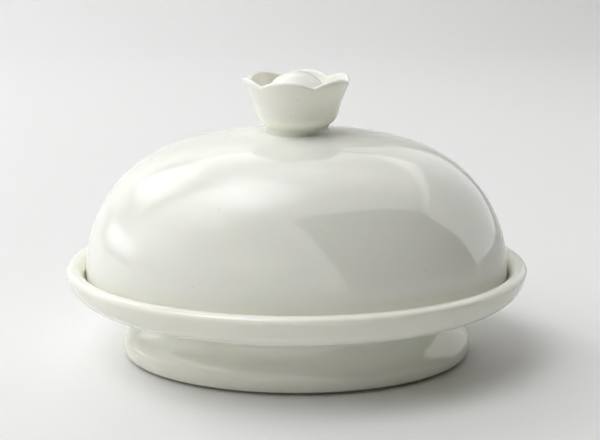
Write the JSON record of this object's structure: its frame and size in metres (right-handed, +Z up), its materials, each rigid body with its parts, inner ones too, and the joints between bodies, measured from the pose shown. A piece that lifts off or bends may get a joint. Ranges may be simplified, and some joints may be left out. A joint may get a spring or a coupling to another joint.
{
  "type": "butter dish",
  "caption": "White porcelain butter dish: an oval dish on a hollow flared foot, with a loose domed lid lifted by a flower-shaped knob.",
  "frame": {"origin": "on the table, under the middle of the dish", "axes": "+X along the oval, -Y is the front, +Z up out of the knob"},
  "size_m": [0.18, 0.1366, 0.1124],
  "materials": {
    "plate_glaze": "gloss",
    "foot_glaze": "gloss",
    "lid_glaze": "gloss",
    "knob_glaze": "gloss",
    "bead_glaze": "gloss"
  },
  "bodies": {
    "dish": {"dish_plate": "plate_glaze", "dish_foot": "foot_glaze"},
    "lid": {"lid_dome": "lid_glaze", "knob_cup": "knob_glaze", "knob_bead": "bead_glaze"}
  },
  "joints": [
    {"name": "lid_lift", "type": "slide", "parent": "dish", "child": "lid", "axis": [0, 0, 1], "range_m": [0, 0.12]}
  ]
}
